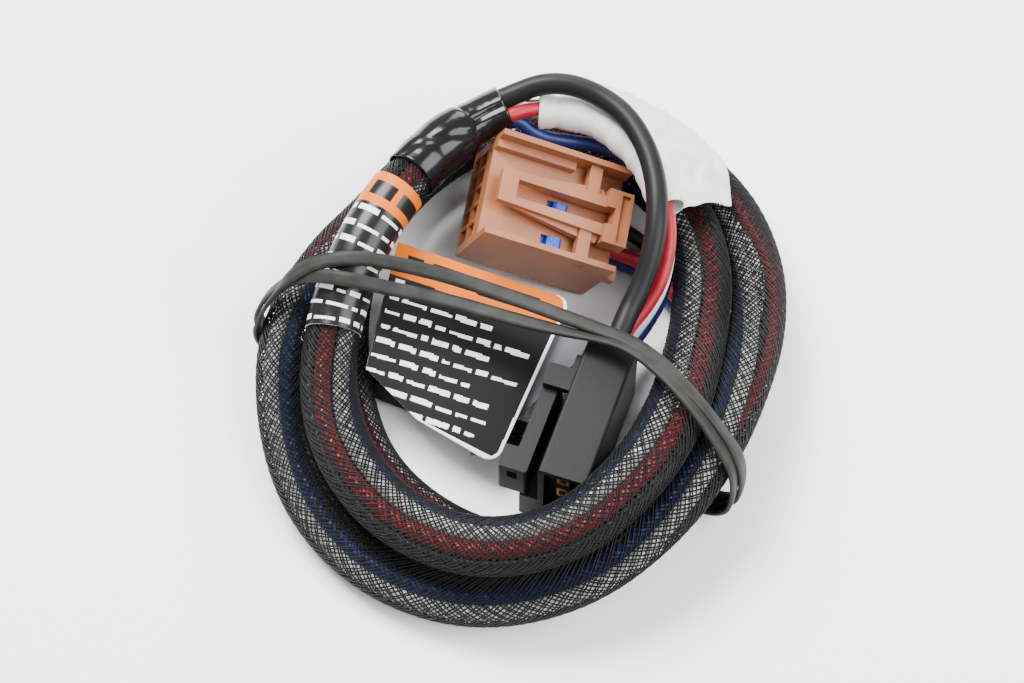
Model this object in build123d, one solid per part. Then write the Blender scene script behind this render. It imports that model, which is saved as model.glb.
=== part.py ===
from build123d import *
import math
import os

# Trailer brake-control wiring adapter: a coiled, braided four-wire loom with a
# two-row vehicle plug at one end and a four-way controller plug at the other.
# Millimetres, +Z up. The coil lies on the ground plane, Z = 0, and the origin is
# the middle of the whole object's footprint. Pieces are laid out about the
# coil's own centre and moved together by LAYOUT_SHIFT when they are written.

LAYOUT_SHIFT = (1.15, -3.0, 0.0)

# Loom: braided sleeve over four insulated wires
SLEEVE_DIAMETER = 9.0
SLEEVE_WALL = 0.4
WIRE_DIAMETER = 2.6
JACKET_DIAMETER = 4.0
WIRE_PLACES = {
    "black": (-1.0, 1.4),
    "red": (2.3, 0.5),
    "blue": (1.1, -2.1),
    "white": (-1.6, -1.9),
}

# The coil about its own centre, one pair of radius and height every 20 degrees
COIL_CENTRE = (0.0, 2.0)
COIL_STEP = 20.0
COIL_START = (110.0, 37.0, 24.3)
FIRST_TURN = [
    (35, 24.3), (32, 24.4), (32, 22.4), (34.5, 16.8), (38, 14.5), (42, 14.1),
    (45.3, 14.2), (46.5, 15.2), (44.6, 18.8), (39.4, 23.1), (34, 22), (31, 18.4),
    (31.3, 14.2), (34.8, 12.8), (39.5, 11.3), (42.8, 9.4), (44.8, 9.6), (44.6, 12.2),
]
SECOND_TURN = [
    (39.4, 13.8), (36.0, 14.6), (38.6, 14.9), (44.2, 11.6), (46.8, 5.6), (50, 4.5),
    (52, 4.5), (52, 5.4), (50.2, 10.4), (46.0, 15.2), (42.2, 16.9), (40.6, 16),
    (42.2, 12.4), (46, 8.5), (50.6, 5.2), (53, 4.5), (52.8, 4.5), (50.4, 4.5),
]
LAST_TURN = [
    (45.4, 4.5), (40, 4.7), (35.8, 5.6), (34, 6.5), (34.5, 5.4), (36.7, 4.5),
    (38.6, 4.5), (40.7, 4.5), (42.2, 4.7), (42.4, 5.9), (41.4, 6.8), (39.2, 5.8),
]

# Heat-shrink tubes
LOOM_SHRINK_WALL = 0.5
LOOM_SHRINK_OVERRUN = 2.5
EXIT_SHRINK_BORE = 7.8
EXIT_SHRINK_WALL = 0.4
EXIT_SHRINK_ROUTE = [(-9.3, 39.85, 24.3), (-2.6, 42.6, 25.3)]
EXIT_SHRINK_CUT = 2.4
VEHICLE_SHRINK_WALL = 0.4
VEHICLE_SHRINK_OVERRUN = 4.0
CORNER_SHARE = 0.45
CUT_BEYOND = 0.5

# Vehicle plug: its frame on the coil, length towards the wires, and its sizes
VEHICLE_PLUG_TOP = (6.2, 23.6, 22.0)
VEHICLE_PLUG_AXIS = (0.922, -0.097, -0.379)
VEHICLE_PLUG_NORMAL = (0.347, -0.244, 0.905)
VP_LENGTH = 25.8
VP_WIDTH = 20.6
VP_HEIGHT = 16.2
VP_RAIL = 1.1
VP_TROUGH = 4.6
VP_FLOOR = 1.0
VP_END_WALL = 3.0
VP_COLUMNS = 5
VP_PITCH = 3.6
VP_CAVITY_WIDTH = 2.8
VP_CAVITY_HEIGHT = 3.3
VP_ROW_WEB = 0.8
VP_LEDGE_WIDTH = 1.5
VP_LEDGE_DROP = 2.6
VP_LEDGE_LENGTH = 15.6
VP_STOP = (1.8, 2.4, 2.2)
VP_WIRE_DEPTH = 3.0
VP_LEAD_STRAIGHT = 3.5

# Rocker latch of the vehicle plug
LEVER_FRONT = 11.5
LEVER_REAR = 14.0
LEVER_NOSE_WIDTH = 6.2
LEVER_REAR_WIDTH = 7.8
LEVER_NOSE_THICKNESS = 1.6
LEVER_MID_THICKNESS = 3.2
LEVER_TOP_DROP = 0.6
LEVER_WINDOW = (-8.2, 10.8, 3.4)
LEVER_PIVOT = 6.3
LEVER_PIN_DIAMETER = 2.0
LEVER_PAD_WIDTH = 10.6
LEVER_PAD_LENGTH = 4.8
LEVER_PAD_RISE = 0.8
LEVER_PAD_GROOVE = (1.6, 0.6)
LEVER_PAD_MARGIN = (0.6, 0.7)
LEVER_TAIL_RISE = 0.9
LEVER_FLARE = (2.0, 1.2, 0.6)
LEVER_POST = (2.4, 0.8, 2.2)
LEVER_PIN_INSET = 1.0
PIN_CLEARANCE = 0.15

# Blue secondary lock, a plate that slides under the trough's floor
LOCK_THICKNESS = 1.2
LOCK_FRONT = 11.6
LOCK_REAR = 4.2
LOCK_TAB_LENGTH = 2.8
LOCK_TAB_WIDTH = 2.2
LOCK_TAB_RISE = 0.9
LOCK_TAB_X = 1.6
LOCK_TAB_Y = (0.0, -6.8)
LOCK_TAB_CHAMFER = 0.5
LOCK_TRAVEL = 1.0
SLIDE_CLEARANCE = 0.15

# Controller plug: it stands on its narrow side, length away from the wires
CONTROLLER_PLUG_REAR = (15.7, -4.4, 1.9)
CONTROLLER_PLUG_HEADING = -109.3
CP_LENGTH = 29.4
CP_THICKNESS = 8.8
CP_HEIGHT = 18.6
CP_EDGE = 0.5
CP_PITCH = 4.5
CP_TOP_MARGIN = 2.7
CP_CAVITY = 3.3
CP_MOUTH_DEPTH = 3.0
CP_MOUTH_WALL = 1.1
CP_HOLE_CLEARANCE = 0.3
CP_WIRE_DEPTH = 7.0
CP_FLANGE = (17.0, 3.4, 7.0)
CP_RIB = (5.0, 1.0, 5.0, 1.0)
CP_LEAD_STRAIGHT = 5.0

# Side latch of the controller plug
ARM_ROOT = 10.4
ARM_TIP = 29.6
ARM_THICKNESS = 2.8
ARM_TIP_THICKNESS = 5.2
ARM_TIP_LENGTH = 4.4
ARM_GAP = 2.1
ARM_BOTTOM = 8.2
ARM_HEIGHT = 8.2
ARM_BARREL = 1.6
ARM_WINDOW = (1.8, 2.2)
ARM_WINDOW_PLACE = 0.7
LUG_LENGTH = 4.4
LUG_HEIGHT = 1.4
LUG_CLEARANCE = 0.2
LUG_ROOT = 0.5
ARM_PIN_COVER = 0.6

# Brass terminals: contact box, neck and crimp barrel
CT_BOX = (11.0, 2.2, 2.6)
CT_WALL = 0.5
CT_NECK = 2.0
CT_PROUD = 2.4
VT_BOX = (12.0, 2.0, 2.2)
VT_WALL = 0.3
VT_NECK = 2.2
VT_SETBACK = 1.5
CONTACT_HOLLOW = 0.6
NECK_WIDTH = 1.2
CRIMP_DIAMETER = 2.4

# Labels and band; the printed label's wrap is placed by lengths along the loom
LABEL_SPAN = (16.5, 46.0)
LABEL_GAP = 0.05
LABEL_THICKNESS = 0.2
FLAG_THICKNESS = 0.3
BACKING_THICKNESS = 0.3
MARKER_BORE = 6.0
MARKER_WALL = 0.25
BAND_DIAMETER = 1.4

# Leads from the heat-shrink mouth to the controller plug
LEAD_SPACING = 3.1
JACKET_ROUTE = [
    (3.0, 45.0, 28.7), (8.8, 44.5, 28.9),
    (14.0, 42.2, 28.3), (18.4, 38.0, 28.3), (21.5, 32.0, 28.2), (23.2, 25.2, 28.0),
    (23.6, 18.2, 27.2), (22.8, 11.8, 24.6), (20.6, 6.0, 20.6),
]
MARKER_ROUTE = [
    (4.2, 42.8, 22.9), (8.6, 42.5, 22.9), (12.6, 41.0, 22.8), (16.6, 38.2, 22.8),
    (20.4, 34.0, 22.8), (23.6, 28.2, 22.8), (25.6, 21.4, 22.3),
]
MARKER_START = (3.2, 42.7, 23.0)
LEAD_TAIL = [(26.0, 14.6, 20.4), (24.6, 8.8, 17.0), (21.6, 4.4, 14.0)]
BLUE_ROUTE = [
    (2.0, 39.3, 19.8), (7.6, 39.8, 17.4), (13.2, 39.4, 16.9), (18.6, 36.4, 16.8),
    (22.8, 31.0, 16.8), (25.4, 24.4, 16.2), (26.2, 17.4, 14.2), (25.4, 11.2, 11.0),
    (22.8, 6.4, 7.8),
]

# Leads from the vehicle end of the loom to the vehicle plug
VEHICLE_ROUTE = [
    (38.9, 0.2, 4.6), (36.2, 6.2, 4.3), (31.8, 11.0, 4.2), (27.4, 15.4, 4.5),
    (23.6, 19.8, 5.6),
]
VEHICLE_PLACES = {
    "black": (1.55, 1.55),
    "red": (-1.55, 1.55),
    "blue": (-1.55, -1.55),
    "white": (1.55, -1.55),
}
VEHICLE_COLUMNS = {"black": (3, 0), "red": (1, 0), "blue": (1, 1), "white": (3, 1)}
LEAD_STRAIGHT = 5.5

# Flags of the two labels, on their own planes
PRINTED_FLAG_ORIGIN = (-23.3, 17.0, 18.0)
PRINTED_FLAG_ACROSS = (31.5, -8.0, -7.5)
PRINTED_FLAG_NORMAL = (0.179, -0.199, 0.963)
PRINTED_FLAG_OUTLINE = [(0, 0), (33.3, 0), (29.0, -34.2), (13.0, -31.0), (1.5, -25.0)]
BACKING_DROP = 1.0
BACKING_OUTLINE = [(28.5, -2.0), (40.0, -2.5), (38.0, -10.5), (25.5, -34.0), (22.0, -30.0)]
MARKER_FLAG_EDGE = [
    (5.2, 58.2, 10.6), (12.4, 59.0, 10.4), (22.0, 55.6, 10.2), (31.6, 48.0, 10.2),
    (39.4, 38.0, 10.6), (38.2, 27.4, 13.6),
]

# The rubber band, one closed turn over and under the coil
BAND_ROUTE = [
    (-32.6, 8.2, 26.8), (-24.8, 8.6, 25.0), (-13.0, 6.6, 22.8), (-1.0, 2.0, 22.4),
    (10.0, -2.8, 22.4), (17.4, -6.4, 23.4), (22.0, -11.6, 26.2), (26.6, -18.0, 28.2),
    (31.8, -23.6, 26.2), (36.8, -28.4, 20.2), (37.8, -29.2, 12.0), (37.4, -28.8, 5.0),
    (33.0, -26.2, 0.8), (10.0, -16.4, 0.8), (-14.0, -7.0, 0.8), (-37.6, 3.0, 0.9),
    (-45.8, 5.0, 3.2), (-49.6, 5.6, 9.6), (-47.4, 6.4, 16.6), (-40.8, 7.4, 22.6),
]

VEHICLE_PLACE = Plane(
    origin=VEHICLE_PLUG_TOP, x_dir=VEHICLE_PLUG_AXIS, z_dir=VEHICLE_PLUG_NORMAL
).location
CONTROLLER_PLACE = Pos(*CONTROLLER_PLUG_REAR) * Rot(0, 0, CONTROLLER_PLUG_HEADING)

# Levels inside the vehicle plug, measured down from the rails' top, and the
# controller latch's pin, which ends inside its lugs
TROUGH_FLOOR = -VP_TROUGH
POCKET_TOP = TROUGH_FLOOR - VP_FLOOR
POCKET_HEIGHT = LOCK_THICKNESS + 2 * SLIDE_CLEARANCE
POCKET_BOTTOM = POCKET_TOP - POCKET_HEIGHT
VP_WIRE_END = VP_LENGTH / 2 - VP_END_WALL - VP_WIRE_DEPTH
ARM_PIN_LENGTH = ARM_HEIGHT + 2 * (LUG_CLEARANCE + LUG_HEIGHT - ARM_PIN_COVER)


def polar(angle, radius, height):
    turn = math.radians(angle)
    x = COIL_CENTRE[0] + radius * math.cos(turn)
    y = COIL_CENTRE[1] + radius * math.sin(turn)
    return Vector(x, y, height)


def coil_points():
    """The loom's route: its start, then the three turns."""
    points = [polar(*COIL_START)]
    for index, (radius, height) in enumerate(FIRST_TURN + SECOND_TURN + LAST_TURN):
        points.append(polar(120 + COIL_STEP * index, radius, height))
    return points


def vectors(points):
    return [Vector(*point) for point in points]


def corner_radii(points):
    """The largest arc at each corner that leaves part of both runs straight."""
    radii = []
    for before, corner, after in zip(points, points[1:], points[2:]):
        turn = math.radians((corner - before).get_angle(after - corner))
        run = min((corner - before).length, (after - corner).length)
        radii.append(CORNER_SHARE * run / math.tan(turn / 2))
    return radii


def cord_path(points, radii=None):
    return Wire(FilletPolyline(*points, radius=radii or corner_radii(points)).edges())


def stretch(points, first, last):
    """Part of a route, from the middle of run `first` to the middle of run `last`."""
    start = (points[first] + points[first + 1]) * 0.5
    end = (points[last] + points[last + 1]) * 0.5
    corners = points[first + 1:last + 1]
    return cord_path([start] + corners + [end], corner_radii(points)[first:last])


def tube(path, diameter, bore=0.0, place=(0, 0)):
    """A cord or tube along a path; its section's Y axis starts upright."""
    along = path % 0
    across = along.cross(Vector(0, 0, -1))
    ring = Pos(*place) * Circle(diameter / 2)
    if bore:
        ring -= Pos(*place) * Circle(bore / 2)
    return sweep(Plane(origin=path @ 0, x_dir=across, z_dir=along) * ring, path=path)


def beside(points, sideways, up):
    """A route that runs level beside another, and above or below it."""
    moved = []
    for index, point in enumerate(points):
        ahead = points[min(index + 1, len(points) - 1)]
        behind = points[max(index - 1, 0)]
        along = Vector(ahead.X - behind.X, ahead.Y - behind.Y, 0).normalized()
        side = along.cross(Vector(0, 0, 1))
        moved.append(point + side * sideways + Vector(0, 0, up))
    return moved


def span_box(x_span, y_span, z_span):
    """A box given by its lowest and highest value along each axis."""
    size = [span[1] - span[0] for span in (x_span, y_span, z_span)]
    middle = [(span[1] + span[0]) / 2 for span in (x_span, y_span, z_span)]
    return Pos(*middle) * Box(*size)


def rod_x(start, end, y, z, diameter):
    """A round bar along X."""
    middle = (start + end) / 2
    return Pos(middle, y, z) * Rot(0, 90, 0) * Cylinder(diameter / 2, end - start)


def cavity_place(column, row):
    """Y and Z of a terminal cavity's middle in the vehicle plug."""
    y = (column - (VP_COLUMNS - 1) / 2) * VP_PITCH
    row_pitch = VP_CAVITY_HEIGHT + VP_ROW_WEB
    z = POCKET_BOTTOM - VP_ROW_WEB - VP_CAVITY_HEIGHT / 2 - row * row_pitch
    return y, z


def contact_height(index):
    """Height of a contact in the controller plug, counted from the top."""
    return CP_HEIGHT - CP_TOP_MARGIN - index * CP_PITCH


def vehicle_plug_housing():
    half_length = VP_LENGTH / 2
    half_width = VP_WIDTH / 2
    rear_wall = half_length - VP_END_WALL
    body = span_box((-half_length, half_length), (-half_width, half_width), (-VP_HEIGHT, 0))
    inner = half_width - VP_RAIL
    body -= span_box((-half_length, half_length), (-inner, inner), (TROUGH_FLOOR, 0))
    ledge_end = -half_length + VP_LEDGE_LENGTH
    body += span_box(
        (-half_length, ledge_end), (inner - VP_LEDGE_WIDTH, inner), (TROUGH_FLOOR, -VP_LEDGE_DROP)
    )
    for column in range(VP_COLUMNS):
        for row in range(2):
            y, z = cavity_place(column, row)
            body -= span_box(
                (-half_length, rear_wall),
                (y - VP_CAVITY_WIDTH / 2, y + VP_CAVITY_WIDTH / 2),
                (z - VP_CAVITY_HEIGHT / 2, z + VP_CAVITY_HEIGHT / 2),
            )
            hole = WIRE_DIAMETER + 2 * PIN_CLEARANCE
            body -= rod_x(rear_wall - CUT_BEYOND, half_length + CUT_BEYOND, y, z, hole)
    lock_half = inner - VP_RAIL + SLIDE_CLEARANCE
    body -= span_box(
        (-half_length, LOCK_REAR + SLIDE_CLEARANCE),
        (-lock_half, lock_half),
        (POCKET_BOTTOM, POCKET_TOP),
    )
    for y in LOCK_TAB_Y:
        window_start = LOCK_TAB_X - LOCK_TAB_LENGTH / 2 - LOCK_TRAVEL - SLIDE_CLEARANCE
        window_end = LOCK_TAB_X + LOCK_TAB_LENGTH / 2 + SLIDE_CLEARANCE
        half_window = LOCK_TAB_WIDTH / 2 + SLIDE_CLEARANCE
        body -= span_box(
            (window_start, window_end), (y - half_window, y + half_window), (POCKET_TOP, TROUGH_FLOOR)
        )
    hole = LEVER_PIN_DIAMETER + 2 * PIN_CLEARANCE
    bore = Cylinder(hole / 2, VP_WIDTH + CUT_BEYOND)
    body -= Pos(LEVER_PIVOT, 0, pin_height()) * Rot(90, 0, 0) * bore
    stop_length, stop_width, stop_height = VP_STOP
    body += span_box(
        (half_length, half_length + stop_length),
        (-half_width, -half_width + stop_width),
        (TROUGH_FLOOR - stop_height, TROUGH_FLOOR),
    )
    return body


def pin_height():
    return -LEVER_TOP_DROP - LEVER_MID_THICKNESS / 2


def vehicle_plug_latch():
    """A rocker lever on two pins, its nose over the trough and a raised thumb pad."""
    top = -LEVER_TOP_DROP
    profile = Polyline(
        (-LEVER_FRONT, top), (-LEVER_FRONT, top - LEVER_NOSE_THICKNESS),
        (LEVER_PIVOT, top - LEVER_MID_THICKNESS), (LEVER_REAR, top - LEVER_MID_THICKNESS + LEVER_TAIL_RISE),
        (LEVER_REAR, top), close=True,
    )
    side = extrude(Plane.XZ * make_face(profile), amount=LEVER_PAD_WIDTH / 2, both=True)
    pad_start = LEVER_REAR - LEVER_PAD_LENGTH
    nose, rear, pad = (width / 2 for width in (LEVER_NOSE_WIDTH, LEVER_REAR_WIDTH, LEVER_PAD_WIDTH))
    plan = [
        (-LEVER_FRONT, -nose), (pad_start, -rear), (pad_start, -pad), (LEVER_REAR, -pad),
        (LEVER_REAR, pad), (pad_start, pad), (pad_start, rear), (-LEVER_FRONT, nose),
    ]
    outline = make_face(Polyline(*plan, close=True))
    lever = side & extrude(Pos(0, 0, -VP_TROUGH) * outline, amount=VP_TROUGH)
    flare_start, flare_drop, flare_gap = LEVER_FLARE
    flare_front = -LEVER_FRONT + flare_start
    flare_rear = pad_start - flare_gap
    flare_plan = [
        (flare_front, -nose), (LEVER_PIVOT, -pad), (flare_rear, -pad), (pad_start, -rear),
        (pad_start, rear), (flare_rear, pad), (LEVER_PIVOT, pad), (flare_front, nose),
    ]
    flare = make_face(Polyline(*flare_plan, close=True))
    flare_height = VP_TROUGH - LEVER_TOP_DROP - flare_drop
    lever += side & extrude(Pos(0, 0, -VP_TROUGH) * flare, amount=flare_height)
    lever += span_box((pad_start, LEVER_REAR), (-pad, pad), (top, top + LEVER_PAD_RISE))
    groove_width, groove_depth = LEVER_PAD_GROOVE
    rear_margin, side_margin = LEVER_PAD_MARGIN
    groove_end = LEVER_REAR - rear_margin
    pad_top = top + LEVER_PAD_RISE
    lever -= span_box(
        (groove_end - groove_width, groove_end),
        (-pad + side_margin, pad - side_margin),
        (pad_top - groove_depth, pad_top),
    )
    front, back, width = LEVER_WINDOW
    lever -= span_box((front, back), (-width / 2, width / 2), (-VP_TROUGH, pad_top + CUT_BEYOND))
    rail_face = VP_WIDTH / 2 - VP_RAIL
    post_length, post_start, post_height = LEVER_POST
    pin_start = rail_face - LEVER_PIN_INSET
    pin_end = rail_face + VP_RAIL - PIN_CLEARANCE
    height = pin_height()
    for side_sign in (-1, 1):
        post = sorted((side_sign * (width / 2 + post_start), side_sign * (rail_face - PIN_CLEARANCE)))
        lever += span_box(
            (LEVER_PIVOT - post_length / 2, LEVER_PIVOT + post_length / 2),
            post,
            (height - post_height / 2, height + post_height / 2),
        )
        bar = Cylinder(LEVER_PIN_DIAMETER / 2, pin_end - pin_start)
        bar_middle = side_sign * (pin_start + pin_end) / 2
        lever += Pos(LEVER_PIVOT, bar_middle, height) * Rot(90, 0, 0) * bar
    return lever


def vehicle_plug_lock():
    """The blue plate in the pocket, with the tabs that show in the trough."""
    half = VP_WIDTH / 2 - 2 * VP_RAIL
    top = POCKET_TOP - SLIDE_CLEARANCE
    lock = span_box((-LOCK_FRONT, LOCK_REAR), (-half, half), (top - LOCK_THICKNESS, top))
    for y in LOCK_TAB_Y:
        x_span = (LOCK_TAB_X - LOCK_TAB_LENGTH / 2, LOCK_TAB_X + LOCK_TAB_LENGTH / 2)
        y_span = (y - LOCK_TAB_WIDTH / 2, y + LOCK_TAB_WIDTH / 2)
        tab = span_box(x_span, y_span, (top - LOCK_THICKNESS, TROUGH_FLOOR + LOCK_TAB_RISE))
        lock += chamfer(tab.edges().filter_by(Axis.Y).group_by(Axis.Z)[-1], LOCK_TAB_CHAMFER)
    return lock


def contact(start, size, wall, neck, y, z):
    """A hollow contact box that opens towards `start`, and the neck behind it."""
    length, width, height = size
    way = math.copysign(1, length)
    end = start + length
    hollow_end = start + length * CONTACT_HOLLOW
    shape = span_box(
        sorted((start, end)), (y - width / 2, y + width / 2), (z - height / 2, z + height / 2)
    )
    shape -= span_box(
        sorted((start, hollow_end)),
        (y - width / 2 + wall, y + width / 2 - wall),
        (z - height / 2 + wall, z + height / 2 - wall),
    )
    half_neck = NECK_WIDTH / 2
    return shape + span_box(
        sorted((end, end + way * neck)), (y - half_neck, y + half_neck), (z - half_neck, z + half_neck)
    )


def vehicle_terminal(column, row):
    y, z = cavity_place(column, row)
    front = -VP_LENGTH / 2 + VT_SETBACK
    shape = contact(front, VT_BOX, VT_WALL, VT_NECK, y, z)
    return shape + rod_x(front + VT_BOX[0] + VT_NECK, VP_WIRE_END, y, z, CRIMP_DIAMETER)


def controller_plug_housing():
    half = CP_THICKNESS / 2
    body = span_box((0, CP_LENGTH), (-half, half), (0, CP_HEIGHT))
    body = fillet(body.edges().filter_by(Axis.X), CP_EDGE)
    wall = CP_MOUTH_WALL
    body -= span_box(
        (CP_LENGTH - CP_MOUTH_DEPTH, CP_LENGTH), (-half + wall, half - wall), (wall, CP_HEIGHT - wall)
    )
    for index, diameter in enumerate([JACKET_DIAMETER] + [WIRE_DIAMETER] * 3):
        z = contact_height(index)
        body -= rod_x(-CUT_BEYOND, CP_WIRE_DEPTH, 0, z, diameter + CP_HOLE_CLEARANCE)
        reach = CP_CAVITY / 2
        body -= span_box((CP_WIRE_DEPTH, CP_LENGTH - CP_MOUTH_DEPTH), (-reach, reach), (z - reach, z + reach))
    flange_length, flange_reach, flange_height = CP_FLANGE
    body += span_box(
        (CP_LENGTH - flange_length, CP_LENGTH), (-half - flange_reach, -half), (0, flange_height)
    )
    rib_start, rib_reach, rib_height, rib_drop = CP_RIB
    rib_top = CP_HEIGHT - rib_drop
    body += span_box(
        (rib_start, ARM_ROOT - LUG_LENGTH / 2), (-half - rib_reach, -half), (rib_top - rib_height, rib_top)
    )
    hinge_y = -half - ARM_GAP - ARM_THICKNESS / 2
    for bottom in (ARM_BOTTOM - LUG_CLEARANCE - LUG_HEIGHT, ARM_BOTTOM + ARM_HEIGHT + LUG_CLEARANCE):
        body += span_box(
            (ARM_ROOT - LUG_LENGTH / 2, ARM_ROOT + LUG_LENGTH / 2),
            (hinge_y - ARM_THICKNESS / 2, -half + LUG_ROOT),
            (bottom, bottom + LUG_HEIGHT),
        )
    bore = Cylinder(ARM_BARREL / 2 + PIN_CLEARANCE, ARM_PIN_LENGTH + 2 * PIN_CLEARANCE)
    return body - Pos(ARM_ROOT, hinge_y, ARM_BOTTOM + ARM_HEIGHT / 2) * bore


def controller_plug_latch():
    """The long side latch: a beam on an upright hinge pin, with a thick windowed tip."""
    inner = -CP_THICKNESS / 2 - ARM_GAP
    middle = inner - ARM_THICKNESS / 2
    z_span = (ARM_BOTTOM, ARM_BOTTOM + ARM_HEIGHT)
    arm = span_box((ARM_ROOT - ARM_THICKNESS / 2, ARM_TIP), (inner - ARM_THICKNESS, inner), z_span)
    arm += span_box((ARM_TIP - ARM_TIP_LENGTH, ARM_TIP), (inner - ARM_TIP_THICKNESS, inner), z_span)
    arm = fillet(arm.edges().filter_by(Axis.Z), CP_EDGE)
    window_width, window_height = ARM_WINDOW
    window_y = inner - ARM_TIP_THICKNESS / 2
    window_z = ARM_BOTTOM + ARM_HEIGHT * ARM_WINDOW_PLACE
    arm -= span_box(
        (ARM_TIP - ARM_TIP_LENGTH / 2, ARM_TIP),
        (window_y - window_width / 2, window_y + window_width / 2),
        (window_z - window_height / 2, window_z + window_height / 2),
    )
    pin = Cylinder(ARM_BARREL / 2, ARM_PIN_LENGTH)
    return arm + Pos(ARM_ROOT, middle, ARM_BOTTOM + ARM_HEIGHT / 2) * pin


def controller_terminal(index):
    z = contact_height(index)
    length, width, height = CT_BOX
    front = CP_LENGTH - CP_MOUTH_DEPTH + CT_PROUD
    shape = contact(front, (-length, width, height), CT_WALL, CT_NECK, 0, z)
    return shape + rod_x(CP_WIRE_DEPTH, front - length - CT_NECK, 0, z, CRIMP_DIAMETER)


def controller_end(index):
    """The last two points of a lead: outside the plug's rear, and inside its hole."""
    height = contact_height(index)
    outside = CONTROLLER_PLACE * Pos(-CP_LEAD_STRAIGHT, 0, height)
    inside = CONTROLLER_PLACE * Pos(CP_WIRE_DEPTH, 0, height)
    return [outside.position, inside.position]


def vehicle_end(column, row):
    y, z = cavity_place(column, row)
    outside = VEHICLE_PLACE * Pos(VP_LENGTH / 2 + VP_LEAD_STRAIGHT, y, z)
    inside = VEHICLE_PLACE * Pos(VP_WIRE_END, y, z)
    return [outside.position, inside.position]


def controller_routes(loom):
    """Each lead's points, from the loom's start to its place in the controller plug."""
    mouth = [loom @ 0] + vectors(EXIT_SHRINK_ROUTE)
    pair = vectors(MARKER_ROUTE + LEAD_TAIL)
    half = LEAD_SPACING / 2
    onward = {
        "black": vectors(JACKET_ROUTE),
        "red": beside(pair, 0, half),
        "white": beside(pair, 0, -half),
        "blue": vectors(BLUE_ROUTE),
    }
    routes = {}
    for index, (colour, points) in enumerate(onward.items()):
        routes[colour] = beside(mouth, *WIRE_PLACES[colour]) + points + controller_end(index)
    return routes


def vehicle_route(colour, loom):
    """A lead's points from its wire's end in the loom to its cavity."""
    x, y = WIRE_PLACES[colour]
    along = loom % 1
    across = along.cross(Vector(0, 0, -1)).normalized()
    upright = across.cross(along) * -1
    start = (loom @ 1) + across * x + upright * y
    sideways, up = VEHICLE_PLACES[colour]
    middle = beside(vectors(VEHICLE_ROUTE), sideways, up)
    return [start, start + along * LEAD_STRAIGHT] + middle + vehicle_end(*VEHICLE_COLUMNS[colour])


def flat_sheet(origin, across, normal, outline, thickness):
    plane = Plane(origin=origin, x_dir=across, z_dir=normal)
    return extrude(plane * make_face(Polyline(*outline, close=True)), amount=thickness)


def printed_label(loom):
    """The wrapped label and the flag that stands out from it."""
    bore = SLEEVE_DIAMETER + 2 * LABEL_GAP
    first, last = (place / loom.length for place in LABEL_SPAN)
    wrap = tube(loom.trim(first, last), bore + 2 * LABEL_THICKNESS, bore)
    flag = flat_sheet(
        PRINTED_FLAG_ORIGIN, PRINTED_FLAG_ACROSS, PRINTED_FLAG_NORMAL, PRINTED_FLAG_OUTLINE,
        FLAG_THICKNESS,
    )
    return wrap, flag


def label_backing():
    origin = Vector(*PRINTED_FLAG_ORIGIN) - Vector(*PRINTED_FLAG_NORMAL) * BACKING_DROP
    return flat_sheet(
        origin, PRINTED_FLAG_ACROSS, PRINTED_FLAG_NORMAL, BACKING_OUTLINE, BACKING_THICKNESS
    )


def marker_flag():
    """A sheet from the marker sleeve down over the outer turn."""
    sections = []
    reach = MARKER_BORE / 2 + MARKER_WALL + LABEL_GAP
    for near, edge in zip(vectors(MARKER_ROUTE[1:]), vectors(MARKER_FLAG_EDGE)):
        outward = (edge - near).normalized()
        start = near + outward * reach
        middle = (start + edge) * 0.5
        across = outward.cross(Vector(0, 0, 1)).normalized()
        plane = Plane(origin=middle, x_dir=outward, z_dir=across)
        sections.append(plane * Rectangle((edge - start).length, FLAG_THICKNESS))
    return loft(sections, ruled=True)


def write(name, shape):
    shape = Pos(*LAYOUT_SHIFT) * shape
    shape.label = name
    export_step(shape, f"parts/{name}.step")


os.makedirs("parts", exist_ok=True)
loom_points = coil_points()
loom_path = cord_path(loom_points)
loom_start = loom_path @ 0
loom_end = loom_path @ 1
back = (loom_path % 0) * -1

write("braided_sleeve", tube(loom_path, SLEEVE_DIAMETER, SLEEVE_DIAMETER - 2 * SLEEVE_WALL))
routes = {"loom": loom_points}
for colour, place in WIRE_PLACES.items():
    write(f"loom_wire_{colour}", tube(loom_path, WIRE_DIAMETER, place=place))
for colour, points in controller_routes(loom_path).items():
    diameter = JACKET_DIAMETER if colour == "black" else WIRE_DIAMETER
    routes[f"controller_lead_{colour}"] = points
    write(f"controller_lead_{colour}", tube(cord_path(points), diameter))
for colour in WIRE_PLACES:
    points = vehicle_route(colour, loom_path)
    routes[f"vehicle_lead_{colour}"] = points
    write(f"vehicle_lead_{colour}", tube(cord_path(points), WIRE_DIAMETER))

shrink_bore = SLEEVE_DIAMETER
first_run_middle = (loom_points[1] + loom_points[2]) * 0.5
loom_shrink_points = [loom_start + back * LOOM_SHRINK_OVERRUN, loom_points[1], first_run_middle]
shrink_radius = corner_radii(loom_points)[:1]
write(
    "heat_shrink_loom_end",
    tube(cord_path(loom_shrink_points, shrink_radius), shrink_bore + 2 * LOOM_SHRINK_WALL, shrink_bore),
)
exit_corner, lead_corner = vectors(EXIT_SHRINK_ROUTE)
exit_mouth = lead_corner - (lead_corner - exit_corner).normalized() * EXIT_SHRINK_CUT
exit_points = [loom_start, exit_corner, exit_mouth]
write(
    "heat_shrink_lead_exit",
    tube(cord_path(exit_points), EXIT_SHRINK_BORE + 2 * EXIT_SHRINK_WALL, EXIT_SHRINK_BORE),
)
last_run = loom_points[-1] - loom_points[-2]
vehicle_shrink_end = loom_end + last_run.normalized() * VEHICLE_SHRINK_OVERRUN
vehicle_shrink_points = [(loom_points[-4] + loom_points[-3]) * 0.5] + loom_points[-3:-1]
vehicle_shrink_radii = corner_radii(loom_points)[-2:]
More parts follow.
